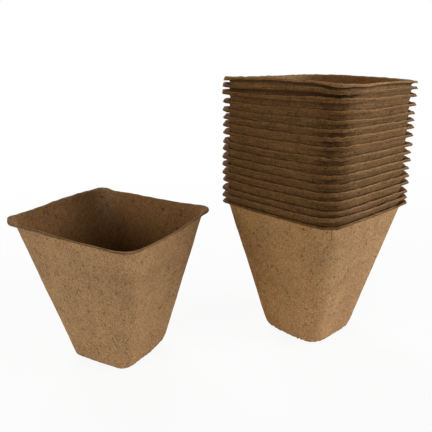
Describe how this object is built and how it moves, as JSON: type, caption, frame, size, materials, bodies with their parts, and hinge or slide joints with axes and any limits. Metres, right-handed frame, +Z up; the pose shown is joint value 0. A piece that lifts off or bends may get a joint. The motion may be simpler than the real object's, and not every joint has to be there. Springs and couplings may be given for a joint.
{
  "type": "peat pot",
  "caption": "Square tapered peat pots of moulded fibre, each with a thin out-turned lip: a nested stack, and a loose pot standing beside it.",
  "frame": {"origin": "middle of the stack's base, on the surface that the pots stand on", "axes": "+Z up; X and Y along the sides of the square pots in the stack; the standing pot is at -X, +Y"},
  "size_m": [0.1869, 0.1452, 0.1478],
  "materials": {
    "moulded_fibre": "matt moulded wood and peat fibre, pressed, with a felted grain and dark specks"
  },
  "bodies": {
    "stack_01": {"stack_pot_01": "moulded_fibre"},
    "stack_02": {"stack_pot_02": "moulded_fibre"},
    "stack_03": {"stack_pot_03": "moulded_fibre"},
    "stack_04": {"stack_pot_04": "moulded_fibre"},
    "stack_05": {"stack_pot_05": "moulded_fibre"},
    "stack_06": {"stack_pot_06": "moulded_fibre"},
    "stack_07": {"stack_pot_07": "moulded_fibre"},
    "stack_08": {"stack_pot_08": "moulded_fibre"},
    "stack_09": {"stack_pot_09": "moulded_fibre"},
    "stack_10": {"stack_pot_10": "moulded_fibre"},
    "stack_11": {"stack_pot_11": "moulded_fibre"},
    "stack_12": {"stack_pot_12": "moulded_fibre"},
    "stack_13": {"stack_pot_13": "moulded_fibre"},
    "stack_14": {"stack_pot_14": "moulded_fibre"},
    "stack_15": {"stack_pot_15": "moulded_fibre"},
    "stack_16": {"stack_pot_16": "moulded_fibre"},
    "stack_17": {"stack_pot_17": "moulded_fibre"},
    "standing": {"standing_pot": "moulded_fibre"}
  },
  "joints": [
    {"name": "lift_02", "type": "slide", "parent": "stack_01", "child": "stack_02", "axis": [0, 0, 1], "range_m": [0, 0.085]},
    {"name": "lift_03", "type": "slide", "parent": "stack_02", "child": "stack_03", "axis": [0, 0, 1], "range_m": [0, 0.085]},
    {"name": "lift_04", "type": "slide", "parent": "stack_03", "child": "stack_04", "axis": [0, 0, 1], "range_m": [0, 0.085]},
    {"name": "lift_05", "type": "slide", "parent": "stack_04", "child": "stack_05", "axis": [0, 0, 1], "range_m": [0, 0.085]},
    {"name": "lift_06", "type": "slide", "parent": "stack_05", "child": "stack_06", "axis": [0, 0, 1], "range_m": [0, 0.085]},
    {"name": "lift_07", "type": "slide", "parent": "stack_06", "child": "stack_07", "axis": [0, 0, 1], "range_m": [0, 0.085]},
    {"name": "lift_08", "type": "slide", "parent": "stack_07", "child": "stack_08", "axis": [0, 0, 1], "range_m": [0, 0.085]},
    {"name": "lift_09", "type": "slide", "parent": "stack_08", "child": "stack_09", "axis": [0, 0, 1], "range_m": [0, 0.085]},
    {"name": "lift_10", "type": "slide", "parent": "stack_09", "child": "stack_10", "axis": [0, 0, 1], "range_m": [0, 0.085]},
    {"name": "lift_11", "type": "slide", "parent": "stack_10", "child": "stack_11", "axis": [0, 0, 1], "range_m": [0, 0.085]},
    {"name": "lift_12", "type": "slide", "parent": "stack_11", "child": "stack_12", "axis": [0, 0, 1], "range_m": [0, 0.085]},
    {"name": "lift_13", "type": "slide", "parent": "stack_12", "child": "stack_13", "axis": [0, 0, 1], "range_m": [0, 0.085]},
    {"name": "lift_14", "type": "slide", "parent": "stack_13", "child": "stack_14", "axis": [0, 0, 1], "range_m": [0, 0.085]},
    {"name": "lift_15", "type": "slide", "parent": "stack_14", "child": "stack_15", "axis": [0, 0, 1], "range_m": [0, 0.085]},
    {"name": "lift_16", "type": "slide", "parent": "stack_15", "child": "stack_16", "axis": [0, 0, 1], "range_m": [0, 0.085]},
    {"name": "lift_17", "type": "slide", "parent": "stack_16", "child": "stack_17", "axis": [0, 0, 1], "range_m": [0, 0.085]},
    {"name": "lift_standing", "type": "slide", "parent": "stack_01", "child": "standing", "axis": [0, 0, 1], "range_m": [0, 0.085]}
  ]
}
